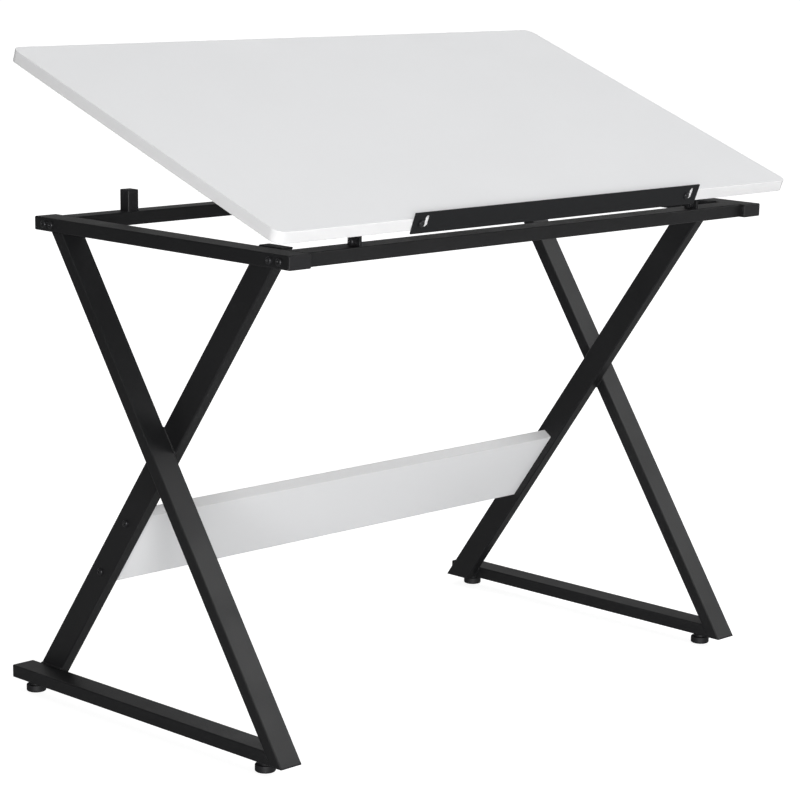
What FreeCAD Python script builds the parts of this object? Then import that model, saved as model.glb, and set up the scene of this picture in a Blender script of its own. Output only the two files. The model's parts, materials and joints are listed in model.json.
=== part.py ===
import FreeCAD, Part
import math
import os
from FreeCAD import Vector

os.makedirs("parts", exist_ok=True)

# Drafting table, in millimetres.  +X is to the right of the person drawing, +Y is away from that
# person and +Z is up.  Y is measured from the middle of the footprint until save() moves every
# piece so that the origin is on the floor under the middle of the whole table.

# ---- Driving dimensions: steel frame ----
FRAME_WIDTH = 1020.0          # outer faces of the two side frames
FRAME_TOP = 736.0             # floor to the top of the frame
FOOT_HEIGHT = 18.0            # floor to the bottom rails
TUBE_WIDE = 40.0
TUBE_THIN = 20.0
WALL = 1.5
TUBE_CORNER = 2.0
TOP_RAIL_FRONT = -315.0
TOP_RAIL_BACK = 230.0
BOTTOM_RAIL_BACK = 305.0
OUTER_LEG_TOE = -305.0        # front face of the outer leg at the bottom rail's underside
OUTER_LEG_HEAD = 180.7        # the same face, continued up to the frame's top
INNER_LEG_HEAD = -258.3       # front face of the inner leg at the frame's top
INNER_LEG_HEEL = 249.6        # the same face at the bottom rail's underside
FRONT_BAR_Y = -285.0          # centre lines and depths of the crossbars
FRONT_BAR_DEPTH = 40.0
REAR_BAR_Y = 200.0
REAR_BAR_DEPTH = 30.0

# ---- Driving dimensions: boards ----
BOARD = 18.0                  # thickness of both boards
EDGE_BAND = 1.0
TOP_WIDTH = 1100.0
TOP_DEPTH = 600.0
TOP_CORNER = 16.0
PANEL_LENGTH = 900.0
PANEL_HEIGHT = 140.0
PANEL_DOWN_LEG = 535.0        # from the head of the inner leg to the panel's upper edge
PANEL_INSET = 11.0            # from the inner leg's front face to the panel's front face

# ---- Driving dimensions: motion ----
REST_TILT = 20.2              # degrees from flat
MAX_TILT = 30.0
HINGE_X = 366.0               # middle of the hinge lug
HINGE_Y = -290.0
HINGE_Z = FRAME_TOP + 6.0
HINGE_TO_BOARD = 26.4         # hinge axis to the board's underside
HINGE_TO_EDGE = 34.0          # hinge axis to the board's front edge
STAY_X = 142.0                # middle of the stay arm's thickness
# Each stay is as long as its pivot is far from the hinge axis.  So its clamp stud moves level with
# that axis, and the stay leans down by exactly as much as the top tilts up.
STAY_REACH = 228.0            # hinge axis to the stay's pivot, and pivot to the clamp stud
STAY_OFFSET = 15.0            # pivot above the hinge axis when the top is flat

# ---- Clearances ----
RUNNING = 0.05                # radial, turning fits and threads
LOOSE = 0.2                   # radial, bolts through plain holes
SLIDE_GAP = 0.2               # between faces that slide past each other

# ---- Fasteners ----
M5 = 2.5                      # thread radii
M6 = 3.0
M8 = 4.0

X_AXIS = Vector(1, 0, 0)
Y_AXIS = Vector(0, 1, 0)
Z_AXIS = Vector(0, 0, 1)

OUTER_X = FRAME_WIDTH / 2.0
RAIL_X = OUTER_X - TUBE_WIDE          # inner faces of the rails and outer legs
LEG_X = RAIL_X - TUBE_THIN            # inner faces of the inner legs
RAIL_MIDDLE_X = (OUTER_X + RAIL_X) / 2.0
RAIL_BOTTOM = FRAME_TOP - TUBE_THIN
BOLT_Z = FRAME_TOP - TUBE_THIN / 2.0
CAP = 2.0                             # visible thickness of a plastic tube cap
LEG_CAP_ROUND = 0.8
RAIL_CAP_ROUND = 1.4
LEG_CAP_PROUD = 1.5                   # inner leg's cap above the frame's top

HINGE = Vector(0, HINGE_Y, HINGE_Z)
BOARD_UNDER = HINGE_Z + HINGE_TO_BOARD      # these describe the top when it lies flat
BOARD_TOP = BOARD_UNDER + BOARD
BOARD_FRONT = HINGE_Y - HINGE_TO_EDGE
BOARD_BACK = BOARD_FRONT + TOP_DEPTH


# ---- Shape helpers ----
def block(x0, x1, y0, y1, z0, z1):
    """Box between two corners."""
    return Part.makeBox(x1 - x0, y1 - y0, z1 - z0, Vector(x0, y0, z0))


def rod(radius, start, direction, length):
    """Round bar from a start point."""
    return Part.makeCylinder(radius, length, start, direction)


def prism_x(outline, x0, x1):
    """Outline of (y, z) corners pushed along X."""
    corners = [Vector(x0, y, z) for y, z in outline]
    face = Part.Face(Part.makePolygon(corners + corners[:1]))
    return face.extrude(Vector(x1 - x0, 0, 0))


def round_along(shape, direction, radius):
    """Round every straight edge that runs along a direction."""
    edges = []
    for edge in shape.Edges:
        if edge.Curve.TypeId != "Part::GeomLine":
            continue
        if edge.tangentAt(edge.FirstParameter).cross(direction).Length < 1e-6:
            edges.append(edge)
    return shape.makeFillet(radius, edges)


def level_edges(shape, z):
    """Edges that lie at one height."""
    return [edge for edge in shape.Edges
            if abs(edge.BoundBox.ZMin - z) < 1e-3 and edge.BoundBox.ZLength < 1e-3]


def hexagon(across_flats, start, direction, length):
    """Hexagonal bar from a start point."""
    radius = across_flats / math.sqrt(3.0)
    corners = []
    for step in range(6):
        turn = math.radians(60.0 * step)
        corners.append(Vector(radius * math.cos(turn), radius * math.sin(turn), 0))
    bar = Part.Face(Part.makePolygon(corners + corners[:1])).extrude(Vector(0, 0, length))
    bar.Placement = FreeCAD.Placement(start, FreeCAD.Rotation(Z_AXIS, direction))
    return bar


def hex_head(across_flats, start, direction, thickness):
    """Hexagonal head with its corners turned off at both faces."""
    body = hexagon(across_flats, start, direction, thickness)
    reach = across_flats / math.sqrt(3.0)
    chamfer = reach - across_flats / 2.0
    turned = rod(reach, start, direction, thickness)
    turned = turned.makeChamfer(chamfer * 0.6, turned.Edges[0:1] + turned.Edges[2:3])
    return body.common(turned)


def hex_nut(across_flats, bore, start, direction, thickness):
    """Nut with its corners turned off at both faces."""
    head = hex_head(across_flats, start, direction, thickness)
    return head.cut(rod(bore, start, direction, thickness))


def washer(radius, bore, start, direction, thickness):
    """Flat ring."""
    return rod(radius, start, direction, thickness).cut(rod(bore, start, direction, thickness))


def socket_bolt(thread, head, head_height, key, start, direction, length):
    """Button-head bolt.  start is under the head, and the shank runs along direction."""
    out = direction * -1.0
    cap = rod(head, start, out, head_height)
    crown = [edge for edge in cap.Edges if edge.Curve.TypeId == "Part::GeomCircle"
             and (edge.Curve.Center - start).Length > head_height / 2.0]
    cap = cap.makeFillet(head_height * 0.6, crown)
    socket = hexagon(key, start + out * (head_height * 0.3), out, head_height)
    return cap.cut(socket).fuse(rod(thread, start, direction, length)).removeSplitter()


def eye_plate(centre, radius, half, level, thickness):
    """Plate of a round eye and two straight flanks to a level edge above or below it."""
    rise = level - centre.z
    lean = math.acos(radius / math.hypot(half, rise))
    touch = math.atan2(rise, half) - math.copysign(lean, rise)
    touch_y = radius * math.cos(touch)
    touch_z = centre.z + radius * math.sin(touch)
    web = prism_x([(centre.y - half, level), (centre.y + half, level),
                   (centre.y + touch_y, touch_z), (centre.y - touch_y, touch_z)],
                  centre.x, centre.x + thickness)
    return web.fuse(rod(radius, centre, X_AXIS, thickness)).removeSplitter()


def mirrored(shape):
    """The same piece on the other side of the table."""
    return shape.mirror(Vector(0, 0, 0), X_AXIS)


def both_sides(shapes):
    """Right-hand shapes and their left-hand twins."""
    return list(shapes) + [mirrored(shape) for shape in shapes]


def tilted(shape):
    """Turn a piece of the flat top to the rest tilt."""
    return shape.rotated(HINGE, X_AXIS, REST_TILT)


# ---- Slanted legs ----
class Leg:
    """A leg seen from the side: its front face is a line from (head, top) to (toe, bottom)."""

    def __init__(self, head, toe, depth, low, high):
        self.head = head
        self.toe = toe
        self.low = low
        self.high = high
        self.run = (head - toe) / (FRAME_TOP - FOOT_HEIGHT)      # Y per unit of Z
        self.stretch = math.hypot(1.0, self.run)                 # level width per unit of depth
        self.depth = depth

    def front(self, z, inset=0.0):
        """Y of the front face, or of a plane set back from it."""
        return self.toe + self.run * (z - FOOT_HEIGHT) + inset * self.stretch

    def outline(self, inset, low, high):
        """Side view between two heights."""
        back = self.depth - inset
        return [(self.front(low, inset), low), (self.front(high, inset), high),
                (self.front(high, back), high), (self.front(low, back), low)]

    def direction(self):
        """Unit vector up the leg."""
        return Vector(0, self.run, 1.0).normalize()

    def tube(self, x0, x1):
        """Hollow leg, cut level at both ends."""
        body = prism_x(self.outline(0.0, self.low, self.high), x0, x1)
        body = round_along(body, self.direction(), TUBE_CORNER)
        hollow = self.outline(WALL, self.low - TUBE_WIDE, self.high + TUBE_WIDE)
        return body.cut(prism_x(hollow, x0 + WALL, x1 - WALL))

    def cap(self, x0, x1, z, up):
        """Plastic cap on the open end at height z, with its plug inside the tube."""
        far = z + up * CAP
        head = prism_x(self.outline(0.0, min(z, far), max(z, far)), x0, x1)
        head = round_along(head, self.direction(), TUBE_CORNER)
        head = head.makeFillet(LEG_CAP_ROUND, level_edges(head, far))
        tip = z - up * 12.0
        skin = WALL + RUNNING
        plug = prism_x(self.outline(skin, min(z, tip), max(z, tip)), x0 + skin, x1 - skin)
        return head.fuse(plug).removeSplitter()


OUTER_LEG = Leg(OUTER_LEG_HEAD, OUTER_LEG_TOE, TUBE_THIN, FOOT_HEIGHT + CAP, RAIL_BOTTOM)
INNER_LEG = Leg(INNER_LEG_HEAD, INNER_LEG_HEEL, TUBE_WIDE, FOOT_HEIGHT + CAP,
                FRAME_TOP + LEG_CAP_PROUD - CAP)


# ---- Side frames ----
def rail_cap(y, back):
    """Plastic cap in a rail's end; back is +1 on a rear end and -1 on a front end."""
    head = block(RAIL_X, OUTER_X, min(y, y + back * CAP), max(y, y + back * CAP), 0, TUBE_THIN)
    head = round_along(head, Y_AXIS, TUBE_CORNER)
    rim = [edge for edge in head.Edges
           if edge.BoundBox.YLength < 1e-3 and abs(edge.BoundBox.YMin - y) > CAP / 2]
    head = head.makeFillet(RAIL_CAP_ROUND, rim)
    tip = y - back * 12.0
    skin = WALL + RUNNING
    plug = block(RAIL_X + skin, OUTER_X - skin, min(y, tip), max(y, tip), skin, TUBE_THIN - skin)
    return head.fuse(plug).removeSplitter()


def top_rail():
    """Top rail with the holes for the crossbar bolts."""
    front = TOP_RAIL_FRONT + CAP
    back = TOP_RAIL_BACK - CAP
    rail = block(RAIL_X, OUTER_X, front, back, RAIL_BOTTOM, FRAME_TOP)
    rail = round_along(rail, Y_AXIS, TUBE_CORNER)
    rail = rail.cut(block(RAIL_X + WALL, OUTER_X - WALL, front - CAP, back + CAP,
                          RAIL_BOTTOM + WALL, FRAME_TOP - WALL))
    for y in CROSSBAR_BOLT_Y:
        rail = rail.cut(rod(M6 + LOOSE, Vector(RAIL_X, y, BOLT_Z), X_AXIS, TUBE_WIDE))
    return rail


def bottom_rail():
    """Bottom rail, butted against the back of the outer leg, with the foot holes."""
    top = FOOT_HEIGHT + TUBE_THIN
    back = BOTTOM_RAIL_BACK - CAP
    side = [(OUTER_LEG.front(FOOT_HEIGHT, TUBE_THIN), FOOT_HEIGHT),
            (OUTER_LEG.front(top, TUBE_THIN), top), (back, top), (back, FOOT_HEIGHT)]
    rail = round_along(prism_x(side, RAIL_X, OUTER_X), Y_AXIS, TUBE_CORNER)
    rail = rail.cut(block(RAIL_X + WALL, OUTER_X - WALL, TOP_RAIL_FRONT, back + CAP,
                          FOOT_HEIGHT + WALL, top - WALL))
    for y in FOOT_Y.values():
        rail = rail.cut(rod(FOOT_NUT_BODY + RUNNING, Vector(RAIL_MIDDLE_X, y, FOOT_HEIGHT),
                            Z_AXIS, WALL))
    return rail


def inner_leg():
    """Inner leg with the two holes for the lower panel's bolts."""
    leg = INNER_LEG.tube(LEG_X, RAIL_X)
    for point in PANEL_BOLT_POINTS:
        leg = leg.cut(rod(M6 + LOOSE, Vector(LEG_X, point.y, point.z), X_AXIS, TUBE_THIN))
    return leg


# ---- Crossbars ----
END_PLATE = 8.0
FRONT_BOLT_SPREAD = 10.0              # bolts on either side of a crossbar's centre line
REAR_BOLT_SPREAD = 8.0
CROSSBAR_BOLT_Y = [FRONT_BAR_Y - FRONT_BOLT_SPREAD, FRONT_BAR_Y + FRONT_BOLT_SPREAD,
                   REAR_BAR_Y - REAR_BOLT_SPREAD, REAR_BAR_Y + REAR_BOLT_SPREAD]
CROSSBARS = [(FRONT_BAR_Y, FRONT_BAR_DEPTH, FRONT_BOLT_SPREAD),
             (REAR_BAR_Y, REAR_BAR_DEPTH, REAR_BOLT_SPREAD)]


def crossbar(y, depth):
    """Hollow bar between the two side frames."""
    bar = block(-RAIL_X, RAIL_X, y - depth / 2, y + depth / 2, RAIL_BOTTOM, FRAME_TOP)
    bar = round_along(bar, X_AXIS, TUBE_CORNER)
    hollow = block(-RAIL_X, RAIL_X, y - depth / 2 + WALL, y + depth / 2 - WALL,
                   RAIL_BOTTOM + WALL, FRAME_TOP - WALL)
    return bar.cut(hollow)


def end_plate(y, depth, spread):
    """Tapped plate welded inside a crossbar's right-hand end."""
    half = depth / 2 - WALL
    plate = block(RAIL_X - END_PLATE, RAIL_X, y - half, y + half,
                  RAIL_BOTTOM + WALL, FRAME_TOP - WALL)
    for bolt_y in (y - spread, y + spread):
        hole = rod(M6 + RUNNING, Vector(RAIL_X - END_PLATE, bolt_y, BOLT_Z), X_AXIS, END_PLATE)
        plate = plate.cut(hole)
    return plate


def crossbar_bolt(y):
    """Button-head bolt through the right-hand rail into the end plate."""
    length = TUBE_WIDE + END_PLATE - 1.0
    return socket_bolt(M6, 5.5, 3.3, 4.0, Vector(OUTER_X, y, BOLT_Z), X_AXIS * -1.0, length)


# ---- Rest posts on the rear crossbar ----
POST = 20.0
POST_X = 361.0                                 # middle of the right-hand post
POST_Y = REAR_BAR_Y - REAR_BAR_DEPTH / 2       # the post's front face is flush with the bar's
POST_CAP = 5.0
POST_TOP = BOARD_UNDER - SLIDE_GAP - POST_CAP


def rest_post():
    """Short square tube that the top lies on when it is flat."""
    post = block(POST_X - POST / 2, POST_X + POST / 2, POST_Y, POST_Y + POST, FRAME_TOP, POST_TOP)
    post = round_along(post, Z_AXIS, TUBE_CORNER)
    return post.cut(block(POST_X - POST / 2 + WALL, POST_X + POST / 2 - WALL,
                          POST_Y + WALL, POST_Y + POST - WALL, FRAME_TOP, POST_TOP))


def rest_post_cap():
    """Soft cap with a plug that fills the post's mouth."""
    head = block(POST_X - POST / 2, POST_X + POST / 2, POST_Y, POST_Y + POST,
                 POST_TOP, POST_TOP + POST_CAP)
    head = round_along(head, Z_AXIS, TUBE_CORNER)
    upper = [edge for edge in head.Edges if min(v.Z for v in edge.Vertexes) > POST_TOP + 1.0]
    head = head.makeFillet(1.2, upper)
    skin = WALL + RUNNING
    plug = block(POST_X - POST / 2 + skin, POST_X + POST / 2 - skin,
                 POST_Y + skin, POST_Y + POST - skin, POST_TOP - 12.0, POST_TOP)
    return head.fuse(plug).removeSplitter()


# ---- Levelling feet ----
FOOT_Y = {"front": -250.0, "rear": 272.0}
FOOT_RADIUS = 15.0
FOOT_NUT_BODY = 5.5
FOOT_NUT_FLANGE = 7.5
FOOT_NUT_PLATE = 1.5
FOOT_NECK = 10.0
FOOT_NECK_TOP = 14.3
STEM_SEAT = 4.0
STEM_TOP = FOOT_HEIGHT + TUBE_THIN - WALL - 2.6


def foot_pad(y):
    """Plastic pad: a disc with a rounded rim and a short neck."""
    rim = rod(FOOT_RADIUS, Vector(RAIL_MIDDLE_X, y, 0), Z_AXIS, 11.0)
    rim = rim.makeFillet(2.5, [edge for edge in rim.Edges if edge.BoundBox.ZMax < 1e-6])
    rim = rim.makeFillet(1.5, [edge for edge in rim.Edges if edge.BoundBox.ZMin > 11.0 - 1e-6])
    neck = rod(FOOT_NECK, Vector(RAIL_MIDDLE_X, y, 10.0), Z_AXIS, FOOT_NECK_TOP - 10.0)
    seat = rod(M8, Vector(RAIL_MIDDLE_X, y, STEM_SEAT), Z_AXIS, FOOT_HEIGHT)
    return rim.fuse(neck).removeSplitter().cut(seat)


def foot_stem(y):
    """Threaded steel stem, moulded into the pad."""
    stem = rod(M8, Vector(RAIL_MIDDLE_X, y, STEM_SEAT), Z_AXIS, STEM_TOP - STEM_SEAT)
    return stem.makeChamfer(0.8, [edge for edge in stem.Edges
                                  if edge.BoundBox.ZMin > STEM_TOP - 1e-6])


def foot_nut(y):
    """Rivet nut in the bottom rail's lower wall."""
    flange = rod(FOOT_NUT_FLANGE, Vector(RAIL_MIDDLE_X, y, FOOT_HEIGHT - FOOT_NUT_PLATE),
                 Z_AXIS, FOOT_NUT_PLATE)
    body = rod(FOOT_NUT_BODY, Vector(RAIL_MIDDLE_X, y, FOOT_HEIGHT), Z_AXIS, 12.0)
    bore = rod(M8 + RUNNING, Vector(RAIL_MIDDLE_X, y, 0), Z_AXIS, FRAME_TOP)
    return flange.fuse(body).removeSplitter().cut(bore)


# ---- Lower panel between the inner legs ----
PANEL_BOLT_INSET = 18.0               # from the panel's edges to its bolts, along the leg
PANEL_BOLT_DEPTH = PANEL_INSET + BOARD / 2
BARREL_RADIUS = 5.0
BARREL_LENGTH = 12.0
BARREL_POCKET = 13.0                  # depth of its pocket from the panel's back face
BARREL_IN = 26.0                      # from the panel's end to the barrel nut
DOWN_LEG = INNER_LEG.direction() * -1.0
INTO_LEG = Vector(0, DOWN_LEG.z, -DOWN_LEG.y) * -1.0      # from the front face towards the back


def on_leg(down, inset):
    """Point on the inner leg's side view, from its head down and from its front face in."""
    start = Vector(0, INNER_LEG.front(FRAME_TOP), FRAME_TOP)
    return start + DOWN_LEG * down + INTO_LEG * inset


PANEL_BOLT_POINTS = [on_leg(PANEL_DOWN_LEG + step, PANEL_BOLT_DEPTH)
                     for step in (PANEL_BOLT_INSET, PANEL_HEIGHT - PANEL_BOLT_INSET)]


def panel_slab(top, bottom):
    """Full-length slice of the panel between two distances from its upper edge."""
    corners = [on_leg(PANEL_DOWN_LEG + top, PANEL_INSET),
               on_leg(PANEL_DOWN_LEG + bottom, PANEL_INSET),
               on_leg(PANEL_DOWN_LEG + bottom, PANEL_INSET + BOARD),
               on_leg(PANEL_DOWN_LEG + top, PANEL_INSET + BOARD)]
    half = PANEL_LENGTH / 2
    return prism_x([(corner.y, corner.z) for corner in corners], -half, half)


def barrel_bottom(point, side):
    """Inner end of a barrel nut's axis."""
    x = side * (PANEL_LENGTH / 2 - BARREL_IN)
    return Vector(x, point.y, point.z) + INTO_LEG * (BOARD / 2 - BARREL_POCKET)


def barrel_pocket(point, side):
    """Pocket for a barrel nut, open at the panel's back face."""
    start = barrel_bottom(point, side) - INTO_LEG * RUNNING
    return rod(BARREL_RADIUS + RUNNING, start, INTO_LEG, BARREL_POCKET + 1.0)


def barrel_nut(point, side):
    """Round nut across the bolt, a little below the panel's back face."""
    bottom = barrel_bottom(point, side)
    nut = rod(BARREL_RADIUS, bottom, INTO_LEG, BARREL_LENGTH)
    across = Vector(bottom.x - BARREL_RADIUS * 2, point.y, point.z)
    return nut.cut(rod(M6 + RUNNING, across, X_AXIS, BARREL_RADIUS * 4))


def panel_bolt(point):
    """Bolt through the right-hand inner leg into the panel's end."""
    length = TUBE_THIN + BARREL_IN + BARREL_RADIUS + 1.0
    return socket_bolt(M6, 5.5, 3.3, 4.0, Vector(RAIL_X, point.y, point.z), X_AXIS * -1.0, length)


def lower_panel():
    """Board core with its bolt holes and barrel-nut pockets."""
    core = panel_slab(EDGE_BAND, PANEL_HEIGHT - EDGE_BAND)
    reach = BARREL_IN + BARREL_RADIUS + 4.0
    for point in PANEL_BOLT_POINTS:
        for side in (-1, 1):
            start = Vector(side * PANEL_LENGTH / 2, point.y, point.z)
            core = core.cut(rod(M6 + LOOSE, start, X_AXIS * -side, reach))
            core = core.cut(barrel_pocket(point, side))
    return core


# ---- Hinges between the front crossbar and the top ----
LUG = 4.0
LUG_TOP = HINGE_Z + 8.5
LUG_ROUND = 1.5
BRACKET = 3.0
BRACKET_RADIUS = 5.5                          # clears the crossbar by half a millimetre
BRACKET_FLANGE = 30.0
PLATE_HALF = 12.0                             # half of both plates' straight edges
HINGE_HEAD = 5.25
HINGE_HEAD_HEIGHT = 3.3
HINGE_NUT = 6.0
HINGE_WASHER = 1.0
HINGE_WASHER_RADIUS = 5.8
LUG_X = HINGE_X - LUG / 2                     # inner face of the right-hand lug
WASHER_X = LUG_X + LUG
BRACKET_X = WASHER_X + HINGE_WASHER + SLIDE_GAP
BRACKET_END = BRACKET_X + BRACKET


def on_hinge(x):
    """Point on the hinge axis."""
    return Vector(x, HINGE_Y, HINGE_Z)


def hinge_lug():
    """Upright square plate on the front crossbar, its two upper corners eased."""
    lug = block(LUG_X, WASHER_X, HINGE_Y - PLATE_HALF, HINGE_Y + PLATE_HALF, FRAME_TOP, LUG_TOP)
    corners = [edge for edge in lug.Edges
               if edge.BoundBox.ZMin > LUG_TOP - 0.01 and edge.BoundBox.XLength > LUG - 0.01]
    lug = lug.makeFillet(LUG_ROUND, corners)
    return lug.cut(rod(M6 + RUNNING, on_hinge(LUG_X), X_AXIS, LUG))


def hinge_bracket():
    """Bent plate: a leg with an eye around the bolt, and a flange under the board."""
    leg = eye_plate(on_hinge(BRACKET_X), BRACKET_RADIUS, PLATE_HALF, BOARD_UNDER, BRACKET)
    flange = block(BRACKET_END - BRACKET_FLANGE, BRACKET_END, HINGE_Y - PLATE_HALF,
                   HINGE_Y + PLATE_HALF, BOARD_UNDER - BRACKET, BOARD_UNDER)
    plate = leg.fuse(flange).removeSplitter()
    plate = plate.cut(rod(M6 + RUNNING, on_hinge(BRACKET_X), X_AXIS, BRACKET))
    for start in HINGE_SCREW_POINTS:
        plate = plate.cut(rod(SCREW + LOOSE, start, Z_AXIS, BRACKET))
    return plate


def hinge_bolt():
    """Button-head bolt: head outside the bracket, shank through bracket, washer and lug."""
    start = on_hinge(BRACKET_END + SLIDE_GAP)
    length = start.x - LUG_X + HINGE_NUT + 1.0
    return socket_bolt(M6, HINGE_HEAD, HINGE_HEAD_HEIGHT, 4.0, start, X_AXIS * -1.0, length)


def hinge_washer():
    """Washer that keeps the bracket off the lug."""
    return washer(HINGE_WASHER_RADIUS, M6 + RUNNING, on_hinge(WASHER_X), X_AXIS, HINGE_WASHER)


def hinge_lock_nut():
    """Nut against the lug's inner face."""
    return hex_nut(10.0, M6 + RUNNING, on_hinge(LUG_X), X_AXIS * -1.0, HINGE_NUT)


# ---- Wood screws into the underside of the top ----
SCREW = 2.2
SCREW_HEAD = 4.2
SCREW_HEAD_HEIGHT = 2.4
SCREW_LENGTH = 16.0
HINGE_SCREW_POINTS = [Vector(BRACKET_END - 20.0, HINGE_Y + shift, BOARD_UNDER - BRACKET)
                      for shift in (-6.0, 6.0)]


def wood_screw(start):
    """Pan-head screw; start is under the head, and the shank points up into the board."""
    head = rod(SCREW_HEAD, start, Z_AXIS * -1.0, SCREW_HEAD_HEIGHT)
    head = head.makeFillet(1.2, [edge for edge in head.Edges
                                 if edge.BoundBox.ZMax < start.z - 1.0])
    recess = rod(1.6, start - Z_AXIS * SCREW_HEAD_HEIGHT, Z_AXIS, 1.4)
    shank = rod(SCREW, start, Z_AXIS, SCREW_LENGTH - 3.0)
    tip = Part.makeCone(SCREW, 0.3, 3.0, start + Z_AXIS * (SCREW_LENGTH - 3.0), Z_AXIS)
    return head.cut(recess).fuse([shank, tip]).removeSplitter()


def screw_hole(start):
    """Pilot hole in the board, as deep as the screw."""
    return rod(SCREW + RUNNING, start, Z_AXIS, SCREW_LENGTH + RUNNING)


# ---- Stays that hold the tilt ----
ARM = 3.0
ARM_HALF = 10.0
ARM_INNER = STAY_X - ARM / 2
ARM_OUTER = STAY_X + ARM / 2
STAY_LEAN = math.degrees(math.asin(STAY_OFFSET / STAY_REACH))     # of a flat top's stay
STAY_PIVOT = HINGE + Vector(STAY_X, math.sqrt(STAY_REACH ** 2 - STAY_OFFSET ** 2), STAY_OFFSET)
PLATE_X = ARM_OUTER + SLIDE_GAP               # inner faces of the two plates the arm slides on
STAY_PLATE = 3.0
EYE_RADIUS = 10.0
STAY_WASHER = 1.4
PIVOT_WASHER_X = ARM_INNER - SLIDE_GAP
BRACKET_REACH = 26.0
STAY_SCREW_POINTS = [Vector(PLATE_X + 16.0, STAY_PIVOT.y + shift, BOARD_UNDER - STAY_PLATE)
                     for shift in (-7.0, 7.0)]


def stud_y(tilt):
    """Y of the clamp stud when the top tilts by some degrees."""
    return HINGE_Y + 2.0 * STAY_REACH * math.cos(math.radians(STAY_LEAN + tilt))


STUD = Vector(STAY_X, stud_y(REST_TILT), HINGE_Z)


def stay_pivot_bracket():
    """Bent plate under the board that carries the upper end of the stay."""
    half = 13.0
    end = PLATE_X + STAY_PLATE
    leg = block(PLATE_X, end, STAY_PIVOT.y - EYE_RADIUS, STAY_PIVOT.y + EYE_RADIUS,
                STAY_PIVOT.z, BOARD_UNDER)
    eye = rod(EYE_RADIUS, Vector(PLATE_X, STAY_PIVOT.y, STAY_PIVOT.z), X_AXIS, STAY_PLATE)
    flange = block(PLATE_X, PLATE_X + BRACKET_REACH, STAY_PIVOT.y - half, STAY_PIVOT.y + half,
                   BOARD_UNDER - STAY_PLATE, BOARD_UNDER)
    plate = leg.fuse([eye, flange]).removeSplitter()
    bore = rod(M6 + RUNNING, Vector(PLATE_X, STAY_PIVOT.y, STAY_PIVOT.z), X_AXIS, STAY_PLATE)
    plate = plate.cut(bore)
    for start in STAY_SCREW_POINTS:
        plate = plate.cut(rod(SCREW + LOOSE, start, Z_AXIS, STAY_PLATE))
    return plate


def stay_pivot_bolt():
    """Bolt from the bracket's outer face through the arm, washer and nut."""
    start = Vector(PLATE_X + STAY_PLATE, STAY_PIVOT.y, STAY_PIVOT.z)
    length = start.x - PIVOT_WASHER_X + STAY_WASHER + 6.0
    return socket_bolt(M6, 5.5, 3.3, 4.0, start, X_AXIS * -1.0, length)


def stay_pivot_washer():
    """Washer between the arm and its lock nut."""
    start = Vector(PIVOT_WASHER_X - STAY_WASHER, STAY_PIVOT.y, STAY_PIVOT.z)
    return washer(7.0, M6 + RUNNING, start, X_AXIS, STAY_WASHER)


def stay_pivot_nut():
    """Lock nut on the pivot bolt."""
    start = Vector(PIVOT_WASHER_X - STAY_WASHER, STAY_PIVOT.y, STAY_PIVOT.z)
    return hex_nut(10.0, M6 + RUNNING, start, X_AXIS * -1.0, 5.0)


def stay_arm():
    """Flat bar with a hole at each end, built level from its pivot to its clamp stud."""
    pivot = Vector(ARM_INNER, STAY_PIVOT.y, STAY_PIVOT.z)
    ends = (pivot, pivot + Y_AXIS * STAY_REACH)
    bar = block(ARM_INNER, ARM_OUTER, pivot.y, pivot.y + STAY_REACH,
                pivot.z - ARM_HALF, pivot.z + ARM_HALF)
    bar = bar.fuse([rod(ARM_HALF, end, X_AXIS, ARM) for end in ends]).removeSplitter()
    return bar.cut([rod(M6 + RUNNING, end, X_AXIS, ARM) for end in ends])


def stay_arm_at_rest():
    """Arm carried up with the top and leaning down to its clamp stud."""
    pivot = tilted(Part.Vertex(STAY_PIVOT)).Point
    arm = stay_arm()
    arm.translate(pivot - STAY_PIVOT)
    return arm.rotated(pivot, X_AXIS, -(STAY_LEAN + REST_TILT))


# ---- Slotted tracks on the rear crossbar ----
TRACK = 4.0
TRACK_HALF = 10.0
SLOT_HALF = M6 + 0.3
SLOT_SPARE = 0.4                      # slot past the stud's two end positions
SLOT_FRONT = stud_y(MAX_TILT) - SLOT_SPARE
SLOT_BACK = stud_y(0.0) + SLOT_SPARE


def stay_track():
    """Bent plate welded to the crossbar's front face, with a level slot for the clamp stud."""
    end = PLATE_X + TRACK
    low = RAIL_BOTTOM + TUBE_CORNER
    high = FRAME_TOP - TUBE_CORNER
    plate = prism_x([(SLOT_FRONT, HINGE_Z - TRACK_HALF), (POST_Y, low),
                     (POST_Y, HINGE_Z + TRACK_HALF), (SLOT_FRONT, HINGE_Z + TRACK_HALF)],
                    PLATE_X, end)
    nose = rod(TRACK_HALF, Vector(PLATE_X, SLOT_FRONT, HINGE_Z), X_AXIS, TRACK)
    base = block(PLATE_X, PLATE_X + BRACKET_REACH, POST_Y - TRACK, POST_Y, low, high)
    slot = block(PLATE_X, end, SLOT_FRONT, SLOT_BACK, HINGE_Z - SLOT_HALF, HINGE_Z + SLOT_HALF)
    slot_ends = [rod(SLOT_HALF, Vector(PLATE_X, y, HINGE_Z), X_AXIS, TRACK)
                 for y in (SLOT_FRONT, SLOT_BACK)]
    return plate.fuse([nose, base]).removeSplitter().cut(slot.fuse(slot_ends))


# ---- Clamp studs and knobs, carried by the stays' lower ends ----
KNOB_RADIUS = 16.0
KNOB_THICK = 14.0
KNOB_LOBES = 5
KNOB_SCALLOP = 7.0
INSERT_RADIUS = 5.5
KNOB_END = ARM_INNER - STAY_WASHER - SLIDE_GAP          # knob face next to the washer


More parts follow.
